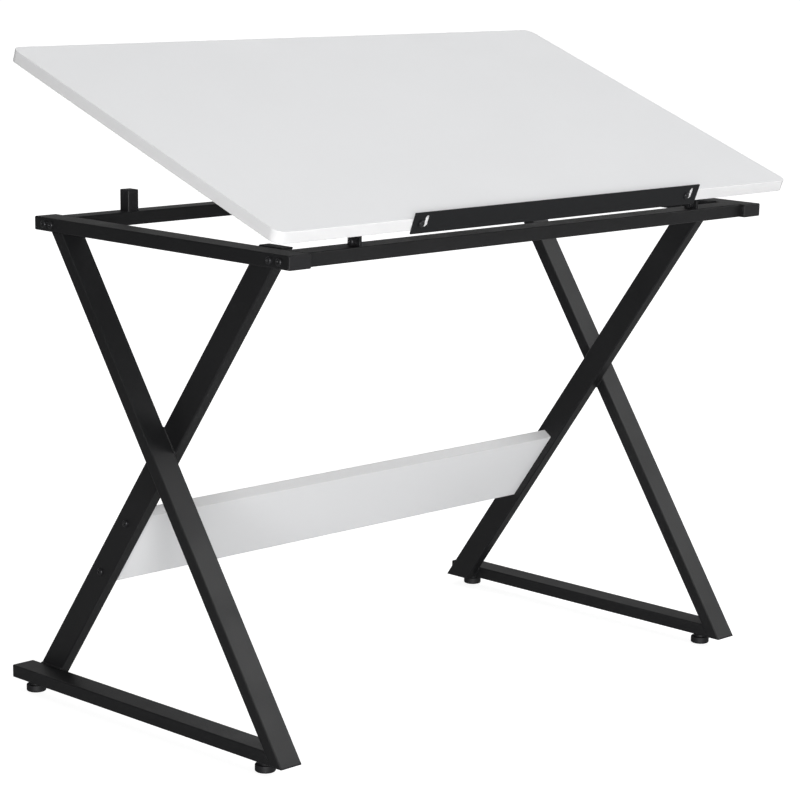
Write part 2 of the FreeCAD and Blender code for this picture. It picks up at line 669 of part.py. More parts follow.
def clamp_stud():
    """Bolt with a hexagonal head outside the track; its thread reaches into the knob."""
    start = Vector(PLATE_X + TRACK + SLIDE_GAP, STUD.y, STUD.z)
    head = hex_head(10.0, start, X_AXIS, 4.0)
    shank = rod(M6, start, X_AXIS * -1.0, start.x - KNOB_END + 12.0)
    return head.fuse(shank).removeSplitter()


def clamp_washer():
    """Wide washer between the arm and the knob."""
    start = Vector(ARM_INNER - STAY_WASHER, STUD.y, STUD.z)
    return washer(9.0, M6 + RUNNING, start, X_AXIS, STAY_WASHER)


def clamp_knob():
    """Lobed plastic knob with a hub against the washer."""
    end = Vector(KNOB_END - 2.0, STUD.y, STUD.z)
    body = rod(KNOB_RADIUS, end, X_AXIS * -1.0, KNOB_THICK)
    for lobe in range(KNOB_LOBES):
        turn = 2.0 * math.pi * (lobe + 0.5) / KNOB_LOBES
        reach = KNOB_RADIUS + KNOB_SCALLOP * 0.55
        centre = end + Vector(0, reach * math.cos(turn), reach * math.sin(turn))
        body = body.cut(rod(KNOB_SCALLOP, centre, X_AXIS * -1.0, KNOB_THICK))
    body = round_along(body, X_AXIS, 1.5)
    far = [edge for edge in body.Edges if edge.BoundBox.XMax < end.x - KNOB_THICK + 1e-6]
    body = body.makeFillet(2.0, far)
    hub = rod(8.5, end, X_AXIS, 2.0)
    seat = rod(INSERT_RADIUS, end + X_AXIS * 2.0, X_AXIS * -1.0, 13.0)
    return body.fuse(hub).removeSplitter().cut(seat)


def knob_insert():
    """Threaded brass insert moulded into the knob."""
    start = Vector(KNOB_END, STUD.y, STUD.z)
    return washer(INSERT_RADIUS, M6 + RUNNING, start, X_AXIS * -1.0, 13.0)


# ---- Pencil ledge on the front edge of the top ----
LEDGE_LENGTH = 620.0
LEDGE_HEIGHT = 32.0
LEDGE = 1.5
LEDGE_PROUD = 9.4                     # how far it stands above the board's surface at rest
LEDGE_SLOT_X = 289.0                  # middle of each J from the middle of the ledge
LEDGE_SHIFT = 10.0                    # from the hook of a J to its long leg
LEDGE_LIFT = 1.8                      # from the hook's end down to the foot of the J
LEDGE_LEG_TOP = 8.3                   # long leg's end above the screw
LEDGE_SLOT_HALF = 3.6
LEDGE_MIDDLE = LEDGE_SHIFT            # hooked; it is in the middle of the top when let down
LEDGE_SCREW_DROP = 7.5                # below the board's surface
LEDGE_SCREW_HEAD = 5.0
LEDGE_SCREW_HEIGHT = 2.6
LEDGE_BACK = BOARD_FRONT - 0.1
LEDGE_FRONT = LEDGE_BACK - LEDGE
LEDGE_SCREW_Z = BOARD_TOP - LEDGE_SCREW_DROP
LEDGE_SCREWS_X = [LEDGE_MIDDLE + side * LEDGE_SLOT_X - LEDGE_SHIFT / 2 for side in (-1, 1)]
INSERT_LENGTH = 13.0
LEDGE_INSERT_RADIUS = 4.0


def slot_run(x0, z0, x1, z1):
    """Straight stretch of slot with round ends, cut along Y."""
    start = Vector(x0, LEDGE_FRONT - 1.0, z0)
    end = Vector(x1, LEDGE_FRONT - 1.0, z1)
    along = (end - start).normalize()
    side = Vector(-along.z, 0, along.x) * LEDGE_SLOT_HALF
    corners = [start + side, end + side, end - side, start - side]
    flat = Part.Face(Part.makePolygon(corners + corners[:1]))
    run = flat.extrude(Vector(0, LEDGE + 2.0, 0))
    ends = [rod(LEDGE_SLOT_HALF, point, Y_AXIS, LEDGE + 2.0) for point in (start, end)]
    return run.fuse(ends)


def pencil_ledge():
    """Flat strip with a J-shaped slot near each end."""
    half = LEDGE_LENGTH / 2
    top = BOARD_TOP + LEDGE_PROUD
    strip = block(LEDGE_MIDDLE - half, LEDGE_MIDDLE + half, LEDGE_FRONT, LEDGE_BACK,
                  top - LEDGE_HEIGHT, top)
    strip = round_along(strip, Y_AXIS, 1.0)
    foot = LEDGE_SCREW_Z - LEDGE_LIFT
    for x in LEDGE_SCREWS_X:
        leg_x = x + LEDGE_SHIFT
        strip = strip.cut(slot_run(x, LEDGE_SCREW_Z, x, foot))
        strip = strip.cut(slot_run(x, foot, leg_x, foot))
        strip = strip.cut(slot_run(leg_x, foot, leg_x, LEDGE_SCREW_Z + LEDGE_LEG_TOP))
    return strip


def ledge_screw(x):
    """Pan-head machine screw whose head holds the ledge against the board's edge."""
    start = Vector(x, LEDGE_FRONT - 0.1, LEDGE_SCREW_Z)
    return socket_bolt(M5, LEDGE_SCREW_HEAD, LEDGE_SCREW_HEIGHT, 3.0, start, Y_AXIS, INSERT_LENGTH)


def ledge_insert(x):
    """Threaded insert in the board's front edge."""
    start = Vector(x, BOARD_FRONT, LEDGE_SCREW_Z)
    return washer(LEDGE_INSERT_RADIUS, M5 + RUNNING, start, Y_AXIS, INSERT_LENGTH)


# ---- Top board ----
def board_blank(inset):
    """Rounded slab, set in from the top's outline."""
    half = TOP_WIDTH / 2 - inset
    slab = block(-half, half, BOARD_FRONT + inset, BOARD_BACK - inset, BOARD_UNDER, BOARD_TOP)
    return round_along(slab, Z_AXIS, TOP_CORNER - inset)


def insert_holes():
    """Holes for the ledge's two threaded inserts."""
    return [rod(LEDGE_INSERT_RADIUS, Vector(x, BOARD_FRONT - 1.0, LEDGE_SCREW_Z), Y_AXIS,
                INSERT_LENGTH + 3.0) for x in LEDGE_SCREWS_X]


def tabletop_board():
    """Board with pilot holes for the brackets' screws and holes for the inserts."""
    board = board_blank(EDGE_BAND)
    pilots = both_sides([screw_hole(point) for point in HINGE_SCREW_POINTS + STAY_SCREW_POINTS])
    return board.cut(pilots + insert_holes())


def tabletop_edge_band():
    """Thin band glued all round the board, with eased outer edges."""
    outer = board_blank(0.0)
    rim = [edge for edge in outer.Edges if edge.BoundBox.ZLength < 1e-6]
    outer = outer.makeFillet(EDGE_BAND * 0.8, rim)
    return outer.cut([board_blank(EDGE_BAND)] + insert_holes())


# ---- Write every node ----
def middle_y():
    """Y halfway between the ledge's foremost edge at rest and the back of the bottom rails."""
    edge = tilted(Part.Vertex(Vector(0, LEDGE_FRONT, BOARD_TOP + LEDGE_PROUD)))
    return (edge.Point.y + BOTTOM_RAIL_BACK) / 2.0


MIDDLE_Y = middle_y()


def save(node, *shapes):
    """Write one node from one solid, or from a group of separate solids."""
    shape = shapes[0] if len(shapes) == 1 else Part.makeCompound(list(shapes))
    shape = shape.translated(Vector(0, -MIDDLE_Y, 0))
    shape.exportStep("parts/" + node + ".step")


def save_pair(name, right_shape):
    """Write the right-hand node and its left-hand twin."""
    save("right_" + name, right_shape)
    save("left_" + name, mirrored(right_shape))


def write_frame():
    """Side frames, crossbars and what is fixed to them."""
    save_pair("top_rail", top_rail())
    save_pair("bottom_rail", bottom_rail())
    save_pair("outer_leg", OUTER_LEG.tube(RAIL_X, OUTER_X))
    save_pair("inner_leg", inner_leg())
    top_caps = [rail_cap(TOP_RAIL_FRONT + CAP, -1), rail_cap(TOP_RAIL_BACK - CAP, 1)]
    for cap in top_caps:
        cap.translate(Vector(0, 0, RAIL_BOTTOM))
    heel_cap = rail_cap(BOTTOM_RAIL_BACK - CAP, 1)
    heel_cap.translate(Vector(0, 0, FOOT_HEIGHT))
    save("rail_end_caps", *both_sides(top_caps + [heel_cap]))
    leg_caps = [INNER_LEG.cap(LEG_X, RAIL_X, INNER_LEG.high, 1),
                INNER_LEG.cap(LEG_X, RAIL_X, INNER_LEG.low, -1),
                OUTER_LEG.cap(RAIL_X, OUTER_X, OUTER_LEG.low, -1)]
    save("leg_end_caps", *both_sides(leg_caps))
    save("front_crossbar", crossbar(FRONT_BAR_Y, FRONT_BAR_DEPTH))
    save("rear_crossbar", crossbar(REAR_BAR_Y, REAR_BAR_DEPTH))
    save("crossbar_end_plates", *both_sides([end_plate(*bar) for bar in CROSSBARS]))
    save("crossbar_bolts", *both_sides([crossbar_bolt(y) for y in CROSSBAR_BOLT_Y]))
    save("rest_posts", *both_sides([rest_post()]))
    save("rest_post_caps", *both_sides([rest_post_cap()]))


def write_feet():
    """Levelling feet and the nuts they turn in."""
    save("foot_nuts", *both_sides([foot_nut(y) for y in FOOT_Y.values()]))
    for place, y in FOOT_Y.items():
        save_pair(place + "_foot_pad", foot_pad(y))
        save_pair(place + "_foot_stem", foot_stem(y))


def write_lower_panel():
    """Lower panel with its bands and fasteners."""
    save("lower_panel", lower_panel())
    save("lower_panel_edge_bands", panel_slab(0.0, EDGE_BAND),
         panel_slab(PANEL_HEIGHT - EDGE_BAND, PANEL_HEIGHT))
    save("lower_panel_bolts", *both_sides([panel_bolt(point) for point in PANEL_BOLT_POINTS]))
    save("lower_panel_barrel_nuts",
         *[barrel_nut(point, side) for point in PANEL_BOLT_POINTS for side in (-1, 1)])


def write_hinges():
    """The two hinges over the front crossbar."""
    save("hinge_lugs", *both_sides([hinge_lug()]))
    save("hinge_bolts", *both_sides([hinge_bolt()]))
    save("hinge_washers", *both_sides([hinge_washer()]))
    save("hinge_lock_nuts", *both_sides([hinge_lock_nut()]))
    save("hinge_brackets", *both_sides([tilted(hinge_bracket())]))
    save("hinge_screws", *both_sides([tilted(wood_screw(point)) for point in HINGE_SCREW_POINTS]))


def write_stays():
    """The two stays, their pivots, tracks and clamps."""
    save("stay_pivot_brackets", *both_sides([tilted(stay_pivot_bracket())]))
    save("stay_pivot_bolts", *both_sides([tilted(stay_pivot_bolt())]))
    save("stay_pivot_washers", *both_sides([tilted(stay_pivot_washer())]))
    save("stay_pivot_nuts", *both_sides([tilted(stay_pivot_nut())]))
    save("stay_bracket_screws",
         *both_sides([tilted(wood_screw(point)) for point in STAY_SCREW_POINTS]))
    save_pair("stay_arm", stay_arm_at_rest())
    save("stay_tracks", *both_sides([stay_track()]))
    save_pair("clamp_stud", clamp_stud())
    save_pair("clamp_washer", clamp_washer())
    save_pair("clamp_knob", clamp_knob())
    save_pair("knob_insert", knob_insert())


def write_top():
    """Board, band, ledge and the ledge's fasteners."""
    save("tabletop_board", tilted(tabletop_board()))
    save("tabletop_edge_band", tilted(tabletop_edge_band()))
    save("pencil_ledge", tilted(pencil_ledge()))
    save("ledge_screws", *[tilted(ledge_screw(x)) for x in LEDGE_SCREWS_X])
    save("ledge_inserts", *[tilted(ledge_insert(x)) for x in LEDGE_SCREWS_X])


write_frame()
write_feet()
write_lower_panel()
write_hinges()
write_stays()
write_top()
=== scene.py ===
import json
import math

import bpy
from mathutils import Matrix, Vector


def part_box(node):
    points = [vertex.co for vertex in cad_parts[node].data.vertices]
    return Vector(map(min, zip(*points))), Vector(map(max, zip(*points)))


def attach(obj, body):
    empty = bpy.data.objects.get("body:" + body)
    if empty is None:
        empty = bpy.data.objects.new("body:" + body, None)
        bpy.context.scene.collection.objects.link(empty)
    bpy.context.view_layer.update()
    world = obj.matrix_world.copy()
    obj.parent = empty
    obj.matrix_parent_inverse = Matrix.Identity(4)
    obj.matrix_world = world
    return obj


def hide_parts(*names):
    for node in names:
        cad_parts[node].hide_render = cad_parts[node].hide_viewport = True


# Looks of the drafting table, in metres, in the CAD model's own frame.
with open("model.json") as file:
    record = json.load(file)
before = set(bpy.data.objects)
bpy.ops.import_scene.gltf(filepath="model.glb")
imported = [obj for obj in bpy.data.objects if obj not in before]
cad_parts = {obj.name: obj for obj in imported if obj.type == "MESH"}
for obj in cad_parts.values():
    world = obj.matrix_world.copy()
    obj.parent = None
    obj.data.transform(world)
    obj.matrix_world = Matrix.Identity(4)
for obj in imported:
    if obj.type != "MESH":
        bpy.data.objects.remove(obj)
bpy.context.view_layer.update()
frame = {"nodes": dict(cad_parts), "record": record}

MM = 0.001

# ---- Sizes that the details share with the steel frame ----
TUBE_WIDE = 40 * MM
TUBE_THIN = 20 * MM
TUBE_CORNER = 2 * MM
POST = 20 * MM
LUG = 4 * MM                  # thickness of a hinge lug
TRACK_BASE = 26 * MM          # width of a stay track's base on the rear crossbar

# ---- Sizes of the details ----
BEAD = 1.9 * MM               # radius of a weld bead
BEAD_SIDES = 10
BEAD_END = 3 * MM             # how far a bead across a tube stays off the tube's sides
RIPPLE = 1.25                 # length of one weld ripple, in bead radii
STEM_PITCH = 1.25 * MM
THREAD_DEPTH = 0.7 * MM
THREAD_SIDES = 28
THREAD_CHAMFER = 0.2 * MM
ROUND_ANGLE = math.radians(32)        # CAD faces that meet at less than this are shaded round


# ---- Node helpers ----
class Shader:
    """One procedural material.  Patterns are measured in metres, in the frame at rest."""

    def __init__(self, name):
        self.material = bpy.data.materials.new(name)
        self.material.use_nodes = True
        self.tree = self.material.node_tree
        self.surface = self.tree.nodes["Principled BSDF"]
        self.place = self.add("ShaderNodeTexCoord").outputs["Object"]

    def add(self, kind, **settings):
        """New node with its options set."""
        node = self.tree.nodes.new(kind)
        for key, value in settings.items():
            setattr(node, key, value)
        return node

    def feed(self, socket, value):
        """Link an output, or set a plain value."""
        if isinstance(value, bpy.types.NodeSocket):
            self.tree.links.new(value, socket)
        else:
            socket.default_value = value

    def stretched(self, factors):
        """Coordinates scaled differently along X, Y and Z."""
        mapping = self.add("ShaderNodeMapping")
        self.feed(mapping.inputs["Vector"], self.place)
        mapping.inputs["Scale"].default_value = factors
        return mapping.outputs["Vector"]

    def noise(self, size, detail=3.0, stretch=None):
        """Cloudy pattern with features of about one size, in metres."""
        node = self.add("ShaderNodeTexNoise")
        self.feed(node.inputs["Vector"], self.stretched(stretch) if stretch else self.place)
        node.inputs["Scale"].default_value = 1.0 / size
        node.inputs["Detail"].default_value = detail
        return node.outputs["Fac"]

    def cells(self, size):
        """Distance pattern of small cells."""
        node = self.add("ShaderNodeTexVoronoi")
        self.feed(node.inputs["Vector"], self.place)
        node.inputs["Scale"].default_value = 1.0 / size
        return node.outputs["Distance"]

    def remap(self, value, start, end, low, high):
        """Value between start and end, turned into low to high and held there."""
        node = self.add("ShaderNodeMapRange", clamp=True)
        self.feed(node.inputs["Value"], value)
        node.inputs["From Min"].default_value = start
        node.inputs["From Max"].default_value = end
        node.inputs["To Min"].default_value = low
        node.inputs["To Max"].default_value = high
        return node.outputs["Result"]

    def math(self, operation, first, second):
        """One arithmetic step."""
        node = self.add("ShaderNodeMath", operation=operation)
        self.feed(node.inputs[0], first)
        self.feed(node.inputs[1], second)
        return node.outputs["Value"]

    def blend(self, share, first, second):
        """Colour between two colours."""
        node = self.add("ShaderNodeMix", data_type="RGBA")
        self.feed(node.inputs["Factor"], share)
        for socket, colour in ((node.inputs[6], first), (node.inputs[7], second)):
            self.feed(socket, (*colour, 1.0) if isinstance(colour, tuple) else colour)
        return node.outputs[2]

    def softened(self, radius):
        """Normal that is rounded across sharp edges."""
        bevel = self.add("ShaderNodeBevel", samples=6)
        bevel.inputs["Radius"].default_value = radius
        return bevel.outputs["Normal"]

    def edge_mask(self, soft):
        """Mask that is 1 where the softened normal leaves the flat one."""
        flat = self.add("ShaderNodeNewGeometry").outputs["Normal"]
        same = self.add("ShaderNodeVectorMath", operation="DOT_PRODUCT")
        self.feed(same.inputs[0], soft)
        self.feed(same.inputs[1], flat)
        return self.remap(same.outputs["Value"], 0.995, 0.85, 0.0, 1.0)

    def bump(self, height, depth, normal=None):
        """Surface relief; depth is the height in metres of a full step of the pattern."""
        node = self.add("ShaderNodeBump")
        self.feed(node.inputs["Height"], height)
        node.inputs["Distance"].default_value = depth
        if normal is not None:
            self.feed(node.inputs["Normal"], normal)
        return node.outputs["Normal"]

    def done(self, colour, roughness, normal, metallic=0.0, specular=0.5):
        """Fill the surface shader and return the material."""
        self.feed(self.surface.inputs["Base Color"], colour)
        self.feed(self.surface.inputs["Roughness"], roughness)
        self.feed(self.surface.inputs["Normal"], normal)
        self.feed(self.surface.inputs["Metallic"], metallic)
        self.surface.inputs["Specular IOR Level"].default_value = specular
        return self.material


# ---- Materials ----
def powder_coat(name, tone, peel=1.0, sheen=0.30):
    """Satin black powder coat: orange peel, slight unevenness, edges rubbed smoother, and a painted
    highlight that lightens the edges.
    """
    s = Shader(name)
    soft = s.softened(0.9 * MM)
    soft_edge_mask = s.edge_mask(soft)
    cloud = s.noise(90 * MM)
    edge_rub_and_highlight = s.math("MULTIPLY", soft_edge_mask, s.remap(s.noise(14 * MM), 0.35, 0.65, 0.25, 1.0))
    body = s.blend(cloud, tuple(c * 0.85 for c in tone), tuple(c * 1.2 for c in tone))
    # Painted highlight: the colour turns lighter along the edges, in patches; the same mask also
    # makes them smoother.
    colour = s.blend(edge_rub_and_highlight, body, tuple(c * 1.9 for c in tone))
    specks = s.remap(s.noise(0.9 * MM, detail=1.0), 0.35, 0.65, -0.05, 0.05)
    base = s.remap(cloud, 0.3, 0.7, 0.40, 0.50)
    roughness = s.math("SUBTRACT", s.math("ADD", base, specks), s.math("MULTIPLY", edge_rub_and_highlight, 0.10))
    fine = s.bump(s.noise(0.45 * MM, detail=2.0), 0.02 * MM * peel, soft)
    normal = s.bump(s.noise(1.6 * MM, detail=2.0), 0.07 * MM * peel, fine)
    return s.done(colour, roughness, normal, specular=sheen)


def melamine(name, tone):
    """White melamine face: pearl grain, and faint handling marks that only change the sheen."""
    s = Shader(name)
    soft = s.softened(0.4 * MM)
    cloud = s.noise(260 * MM, detail=4.0)
    colour = s.blend(cloud, tuple(c * 0.985 for c in tone), tone)
    marks = s.remap(s.noise(45 * MM, detail=5.0, stretch=(0.5, 1.0, 1.0)), 0.45, 0.70, 0.0, 0.07)
    roughness = s.math("ADD", s.remap(cloud, 0.3, 0.7, 0.40, 0.46), marks)
    pearl = s.math("ADD", s.noise(0.7 * MM, detail=2.0), s.cells(0.9 * MM))
    return s.done(colour, roughness, s.bump(pearl, 0.012 * MM, soft))


def edge_band(name, tone):
    """White plastic band: fine draw lines along the edge and a slightly glossier face."""
    s = Shader(name)
    soft = s.softened(0.5 * MM)
    lines = s.noise(1.2 * MM, detail=3.0, stretch=(0.02, 0.02, 1.0))
    colour = s.blend(s.noise(120 * MM), tuple(c * 0.985 for c in tone), tone)
    roughness = s.remap(lines, 0.3, 0.7, 0.30, 0.40)
    return s.done(colour, roughness, s.bump(lines, 0.012 * MM, soft))


def moulded_plastic(name, tone):
    """Black moulding: spark-eroded grain, with edges a little smoother and a painted highlight that
    lightens them.
    """
    s = Shader(name)
    soft = s.softened(0.5 * MM)
    soft_edge_mask = s.edge_mask(soft)
    # Painted highlight: lighter colour along the edges.
    colour = s.blend(soft_edge_mask, tone, tuple(c * 1.6 for c in tone))
    grain = s.math("ADD", s.cells(0.55 * MM), s.noise(0.35 * MM, detail=2.0))
    roughness = s.math("SUBTRACT", s.remap(s.noise(20 * MM), 0.3, 0.7, 0.52, 0.62),
                       s.math("MULTIPLY", soft_edge_mask, 0.12))
    return s.done(colour, roughness, s.bump(grain, 0.035 * MM, soft), specular=0.3)


def zinc_plate(name):
    """Zinc-plated steel: brushed streaks and a faint straw tint in places."""
    s = Shader(name)
    soft = s.softened(0.3 * MM)
    cloud = s.noise(6 * MM, detail=4.0)
    colour = s.blend(cloud, (0.56, 0.57, 0.58), (0.66, 0.64, 0.58))
    streaks = s.noise(0.5 * MM, detail=2.0, stretch=(1.0, 1.0, 0.1))
    roughness = s.remap(s.math("ADD", cloud, streaks), 0.6, 1.4, 0.26, 0.44)
    return s.done(colour, roughness, s.bump(streaks, 0.01 * MM, soft), metallic=1.0)


def black_oxide(name):
    """Blackened steel fasteners: half-metallic sheen, and a painted highlight that lightens the
    rims.
    """
    s = Shader(name)
    soft = s.softened(0.35 * MM)
    soft_edge_mask = s.edge_mask(soft)
    cloud = s.noise(3 * MM, detail=4.0)
    # Painted highlight: the rims are a lighter grey.
    colour = s.blend(soft_edge_mask, s.blend(cloud, (0.018, 0.018, 0.020), (0.032, 0.032, 0.034)),
                     (0.11, 0.11, 0.11))
    roughness = s.remap(cloud, 0.3, 0.7, 0.32, 0.46)
    normal = s.bump(s.noise(0.4 * MM, detail=2.0), 0.012 * MM, soft)
    return s.done(colour, roughness, normal, metallic=0.55)


def machined_brass(name):
    """Turned brass: fine rings and a dulled tone between them."""
    s = Shader(name)
    soft = s.softened(0.3 * MM)
    rings = s.noise(0.4 * MM, detail=1.0)
    colour = s.blend(s.noise(4 * MM), (0.58, 0.42, 0.19), (0.72, 0.55, 0.28))
    roughness = s.remap(rings, 0.3, 0.7, 0.26, 0.42)
    return s.done(colour, roughness, s.bump(rings, 0.01 * MM, soft), metallic=1.0)


MATERIALS = {
    "frame_steel": powder_coat("frame_steel", (0.0080, 0.0081, 0.0087)),
    "ledge_steel": powder_coat("ledge_steel", (0.0075, 0.0079, 0.0088), peel=0.7, sheen=0.22),
    "white_board": melamine("white_board", (0.80, 0.805, 0.815)),
    # Painted shade: the band's white is darker than the board's, to tone down the light its edges
    # catch.
    "white_edge": edge_band("white_edge", (0.72, 0.72, 0.725)),
    "black_plastic": moulded_plastic("black_plastic", (0.010, 0.010, 0.011)),
    "black_fasteners": black_oxide("black_fasteners"),
    "zinc_steel": zinc_plate("zinc_steel"),
    "brass": machined_brass("brass"),
}


def dress_cad():
    """Give every CAD node the material of its slot, and smooth its round faces."""
    for row in frame["record"]["subparts"]:
        piece = frame["nodes"][row["node"]]
        piece.data.materials.clear()
        piece.data.materials.append(MATERIALS[row["material_slot"]])
        piece.data.shade_smooth()
        piece.data.set_sharp_from_angle(angle=ROUND_ANGLE)


# ---- Mesh helpers ----
class Piece:
    """Vertices and faces of one new piece."""

    def __init__(self, name):
        self.name = name
        self.points = []
        self.faces = []

    def loft(self, rings):
        """Closed skin over a row of rings, with a cap at both ends."""
        first = len(self.points)
        count = len(rings[0])
        for ring in rings:
            self.points.extend(ring)
        for row in range(len(rings) - 1):
            start = first + row * count
            for step in range(count):
                after = (step + 1) % count
                self.faces.append((start + step, start + after,
                                   start + count + after, start + count + step))
        last = first + (len(rings) - 1) * count
        self.faces.append(tuple(first + step for step in reversed(range(count))))
        self.faces.append(tuple(last + step for step in range(count)))

    def make(self, body, slot, sharp=40):
        """Turn it into an object that rides on a CAD body."""
        mesh = bpy.data.meshes.new(self.name)
        mesh.from_pydata([tuple(point) for point in self.points], [], self.faces)
        mesh.validate()
        mesh.shade_smooth()
        mesh.set_sharp_from_angle(angle=math.radians(sharp))
        mesh.materials.append(MATERIALS[slot])
        piece = bpy.data.objects.new(self.name, mesh)
        bpy.context.scene.collection.objects.link(piece)
        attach(piece, body)
        return piece


def across(direction):
    """Two unit vectors at right angles to a direction and to each other."""
    helper = Vector((1, 0, 0)) if abs(direction.x) < 0.9 else Vector((0, 1, 0))
    first = direction.cross(helper).normalized()
    return first, direction.cross(first)


def bead(piece, start, end, radius=BEAD):
    """Straight weld bead with overlapping ripples and tapered ends."""
    run = end - start
    direction = run.normalized()
    first, second = across(direction)
    steps = max(8, round(run.length / (radius * 0.34)))
    rings = []
    for step in range(steps + 1):
        along = run.length * step / steps
        near_end = min(along, run.length - along, radius) / radius
        ripple = abs(math.sin(math.pi * along / (radius * RIPPLE)))
        size = radius * (0.80 + 0.20 * ripple) * math.sqrt(max(0.06, near_end * (2 - near_end)))
        centre = start + direction * along
        rings.append([centre + (first * math.cos(turn) + second * math.sin(turn)) * size
                      for turn in (2 * math.pi * side / BEAD_SIDES for side in range(BEAD_SIDES))])
    piece.loft(rings)


def bead_loop(piece, corners, radius=BEAD):
    """Beads along every side of a closed outline."""
    for index, corner in enumerate(corners):
        bead(piece, corner, corners[(index + 1) % len(corners)], radius)


def threaded_rod(piece, start, direction, length, radius, pitch):
    """Screw thread as one helical ridge, with a chamfer at both ends."""
    first, second = across(direction)
    steps = round(length / pitch * 8)
    rings = []
    for step in range(steps + 1):
        along = length * step / steps
        chamfer = min(along, length - along) * 0.9 + radius - THREAD_DEPTH - THREAD_CHAMFER
        ring = []
        for side in range(THREAD_SIDES):
            share = side / THREAD_SIDES
            phase = (along / pitch + share) % 1.0
            ridge = min(1.0, max(0.0, 1.25 - abs(phase - 0.5) * 3.0))
            size = min(radius - THREAD_DEPTH * (1.0 - ridge), chamfer)
            turn = 2 * math.pi * share
            ring.append(start + direction * along
                        + (first * math.cos(turn) + second * math.sin(turn)) * size)
        rings.append(ring)
    piece.loft(rings)


# ---- Details ----
def level_width(front_to_back, rise, depth):
    """Level width of a slanted tube whose cut ends are level."""
    width = depth
    for _ in range(20):
        width = depth * math.hypot(1.0, (front_to_back - width) / rise)
    return width


class LegLine:
    """A slanted leg's front and back faces at any height, read from its CAD node."""

    def __init__(self, node, depth):
        low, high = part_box(node)
        self.low = low
        self.high = high
        front_to_back = high.y - low.y
        rise = high.z - low.z
        self.level = level_width(front_to_back, rise, depth)
        self.run = (front_to_back - self.level) / rise
        self.leans_back = node.endswith("outer_leg")

    def front(self, z):
        """Y of the front face."""
        if self.leans_back:
            return self.low.y + self.run * (z - self.low.z)
        return self.low.y + self.run * (self.high.z - z)

    def back(self, z):
        """Y of the back face."""
        return self.front(z) + self.level


def meeting_height(outer_face, inner_face, low, high):
    """Height between two levels at which a face of each leg has the same Y, by halving."""
    for _ in range(40):
        middle = (low + high) / 2
        if outer_face(middle) < inner_face(middle):
            low = middle
        else:
            high = middle
    return low


def crossing(outer, inner):
    """Corners of the area in which the two legs of a side frame lie against each other."""
    corners = []
    for outer_face, inner_face in ((outer.front, inner.front), (outer.front, inner.back),
                                   (outer.back, inner.back), (outer.back, inner.front)):
        z = meeting_height(outer_face, inner_face, outer.low.z, outer.high.z)
        corners.append((outer_face(z), z))
    return corners


def side_frame_welds(side):
    """Beads where the tubes of one side frame meet."""
    piece = Piece(side + "_side_welds")
    outer = LegLine(side + "_outer_leg", TUBE_THIN)
    inner = LegLine(side + "_inner_leg", TUBE_WIDE)
    sign = 1 if side == "right" else -1
    far = sign * max(abs(outer.low.x), abs(outer.high.x))
    plane = sign * min(abs(outer.low.x), abs(outer.high.x))
    near_x = plane + sign * BEAD_END
    far_x = far - sign * BEAD_END
    top_low, top_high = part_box(side + "_top_rail")
    foot_low, foot_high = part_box(side + "_bottom_rail")
    for y in (outer.front(top_low.z), outer.back(top_low.z)):
        bead(piece, Vector((near_x, y, top_low.z)), Vector((far_x, y, top_low.z)))
    for z in (foot_low.z, foot_high.z):
        y = outer.back(z)
        bead(piece, Vector((near_x, y, z)), Vector((far_x, y, z)), BEAD * 0.8)
    for low, high in ((top_low.z, top_high.z), (foot_low.z, foot_high.z)):
        for face in (inner.front, inner.back):
            start = low + TUBE_CORNER
            end = high - TUBE_CORNER
            bead(piece, Vector((plane, face(start), start)), Vector((plane, face(end), end)))
    for z in (top_low.z, foot_high.z):
        bead(piece, Vector((plane, inner.front(z), z)), Vector((plane, inner.back(z), z)))
    bead_loop(piece, [Vector((plane, y, z)) for y, z in crossing(outer, inner)])
    return piece.make("frame", "frame_steel", sharp=70)


def flat_loop(x0, x1, y0, y1, z):
    """Corners of a level rectangle."""
    return [Vector((x0, y0, z)), Vector((x1, y0, z)), Vector((x1, y1, z)), Vector((x0, y1, z))]


def crossbar_welds():
    """Beads around the rest posts and hinge lugs, and above and below the stay tracks."""
    piece = Piece("crossbar_welds")
    post_low, post_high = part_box("rest_posts")
    lug_low, lug_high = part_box("hinge_lugs")
    track_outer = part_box("stay_tracks")[1].x
    bar_low, bar_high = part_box("rear_crossbar")
    for sign in (-1, 1):
        outer = sign * post_high.x
        bead_loop(piece, flat_loop(outer - sign * POST, outer, post_low.y, post_high.y,
                                   post_low.z), BEAD * 0.8)
        outer = sign * lug_high.x
        bead_loop(piece, flat_loop(outer - sign * LUG, outer, lug_low.y, lug_high.y,
                                   lug_low.z), BEAD * 0.6)
        outer = sign * track_outer
        for z in (bar_low.z + TUBE_CORNER, bar_high.z - TUBE_CORNER):
            bead(piece, Vector((outer - sign * TRACK_BASE, bar_low.y, z)),
                 Vector((outer, bar_low.y, z)), BEAD * 0.6)
    return piece.make("frame", "frame_steel", sharp=70)


def foot_stem_threads():
    """Real threads in place of the plain stems of the four feet."""
    for side in ("left", "right"):
        for place in ("front", "rear"):
            foot = side + "_" + place + "_foot"
            low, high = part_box(foot + "_stem")
            piece = Piece(foot + "_thread")
            start = Vector(((low.x + high.x) / 2, (low.y + high.y) / 2, low.z))
            threaded_rod(piece, start, Vector((0, 0, 1)), high.z - low.z,
                         (high.x - low.x) / 2, STEM_PITCH)
            thread = piece.make(foot, "zinc_steel", sharp=50)
            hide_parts(foot + "_stem")


